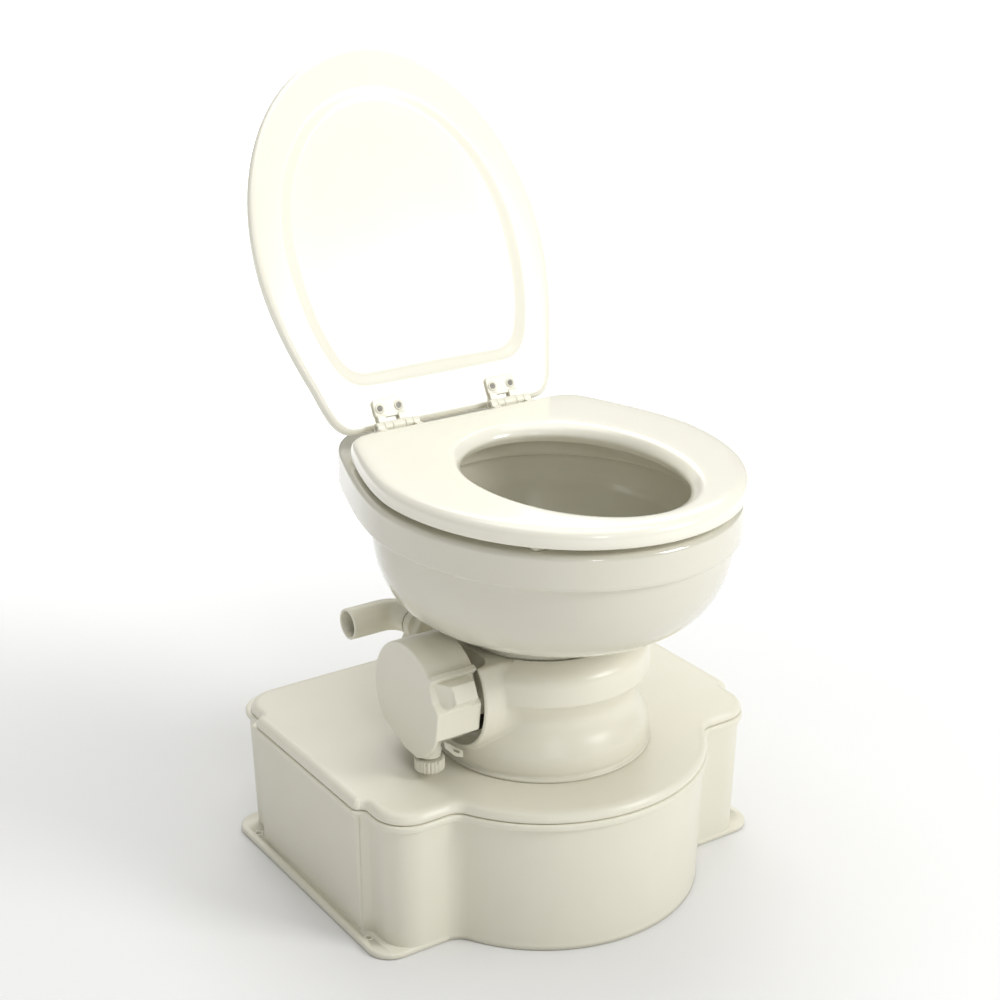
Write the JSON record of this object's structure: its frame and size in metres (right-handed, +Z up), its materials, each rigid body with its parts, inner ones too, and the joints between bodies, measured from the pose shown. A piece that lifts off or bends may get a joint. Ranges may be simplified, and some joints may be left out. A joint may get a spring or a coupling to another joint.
{
  "type": "toilet",
  "caption": "Gravity-flush toilet on a low holding tank, with a foot pedal, a domed flush valve, a discharge elbow and a hinged seat and lid.",
  "frame": {"origin": "on the floor under the pedestal's vertical axis, on the flat underside of the holding tank", "axes": "+Z up, -Y towards the front of the bowl, +X to the right of someone looking at the front"},
  "size_m": [0.4832, 0.5944, 0.8219],
  "materials": {
    "tank_plastic": "satin bone moulded plastic",
    "pedestal_plastic": "smooth bone moulded plastic",
    "bowl_ceramic": "glossy bone glaze",
    "seat_enamel": "glossy bone enamel",
    "hinge_plastic": "smooth bone plastic",
    "screw_steel": "small pan-head screws",
    "pin_steel": "ground hinge pins",
    "valve_plastic": "unpainted moulded plastic",
    "ball_plastic": "polished sealing surface",
    "shaft_plastic": "glass-filled plastic",
    "bushing_plastic": "white bearing plastic",
    "rubber_black": "black rubber",
    "bumper_plastic": "soft cream bumper",
    "pipe_plastic": "smooth bone pipe"
  },
  "bodies": {
    "base": {"tank_tub": "tank_plastic", "tank_deck": "tank_plastic", "tank_seal": "rubber_black", "drop_tube": "pedestal_plastic", "pedestal": "pedestal_plastic", "clamp_band_front": "pedestal_plastic", "clamp_band_rear": "pedestal_plastic", "bowl": "bowl_ceramic", "bowl_seal": "rubber_black", "ball_pivot_pin": "shaft_plastic", "shaft_bushing": "bushing_plastic", "spring_cartridge": "shaft_plastic", "pedal_stop": "rubber_black", "water_valve_body": "valve_plastic", "valve_clip": "valve_plastic", "discharge_riser": "pipe_plastic", "elbow_seal": "rubber_black", "dip_tube": "pipe_plastic", "rinse_nozzle": "valve_plastic", "rinse_nut": "valve_plastic", "hinge_post_left": "hinge_plastic", "hinge_post_right": "hinge_plastic", "hinge_nut_left": "hinge_plastic", "hinge_nut_right": "hinge_plastic"},
    "seat_body": {"seat": "seat_enamel", "seat_bumper_front_left": "bumper_plastic", "seat_bumper_front_right": "bumper_plastic", "seat_bumper_rear_left": "bumper_plastic", "seat_bumper_rear_right": "bumper_plastic", "seat_leaf_left": "hinge_plastic", "seat_leaf_right": "hinge_plastic", "hinge_pin_left": "pin_steel", "hinge_pin_right": "pin_steel"},
    "lid_body": {"lid": "seat_enamel", "lid_leaf_left": "hinge_plastic", "lid_leaf_right": "hinge_plastic", "lid_screw_left_1": "screw_steel", "lid_screw_left_2": "screw_steel", "lid_screw_right_1": "screw_steel", "lid_screw_right_2": "screw_steel"},
    "pedal_body": {"flush_pedal": "pedestal_plastic"},
    "ball_body": {"flush_ball": "ball_plastic", "ball_shaft": "shaft_plastic"},
    "plunger_body": {"valve_plunger": "valve_plastic"},
    "knob_body": {"valve_knob": "valve_plastic"},
    "elbow_body": {"discharge_elbow": "pipe_plastic"}
  },
  "joints": [
    {"name": "lid_hinge", "type": "hinge", "parent": "base", "child": "lid_body", "pos_m": [0, 0.168, 0.4643], "axis": [1, 0, 0], "range_deg": [0, 117]},
    {"name": "seat_hinge", "type": "hinge", "parent": "base", "child": "seat_body", "pos_m": [0, 0.168, 0.4643], "axis": [1, 0, 0], "range_deg": [-114, 0]},
    {"name": "pedal_press", "type": "hinge", "parent": "base", "child": "pedal_body", "pos_m": [-0.14, 0, 0.242], "axis": [1, 0, 0], "range_deg": [0, 34], "stiffness_Nm_per_rad": 2},
    {"name": "ball_turn", "type": "hinge", "parent": "base", "child": "ball_body", "pos_m": [0, 0, 0.242], "axis": [1, 0, 0], "range_deg": [0, 86]},
    {"name": "plunger_slide", "type": "slide", "parent": "base", "child": "plunger_body", "axis": [0, 0, -1], "range_m": [0, 0.0052]},
    {"name": "knob_turn", "type": "hinge", "parent": "base", "child": "knob_body", "pos_m": [-0.149, -0.016, 0.175], "axis": [0, 0, 1], "range_deg": [0, 90]},
    {"name": "elbow_swivel", "type": "hinge", "parent": "base", "child": "elbow_body", "pos_m": [-0.0924, 0.11, 0.27], "axis": [0, 1, 0], "range_deg": [-90, 20]}
  ],
  "couplings": [
    {"joint": "ball_turn", "follows": "pedal_press", "ratio": 2.5},
    {"joint": "plunger_slide", "follows": "pedal_press", "m_per_rad": 0.0084259}
  ]
}
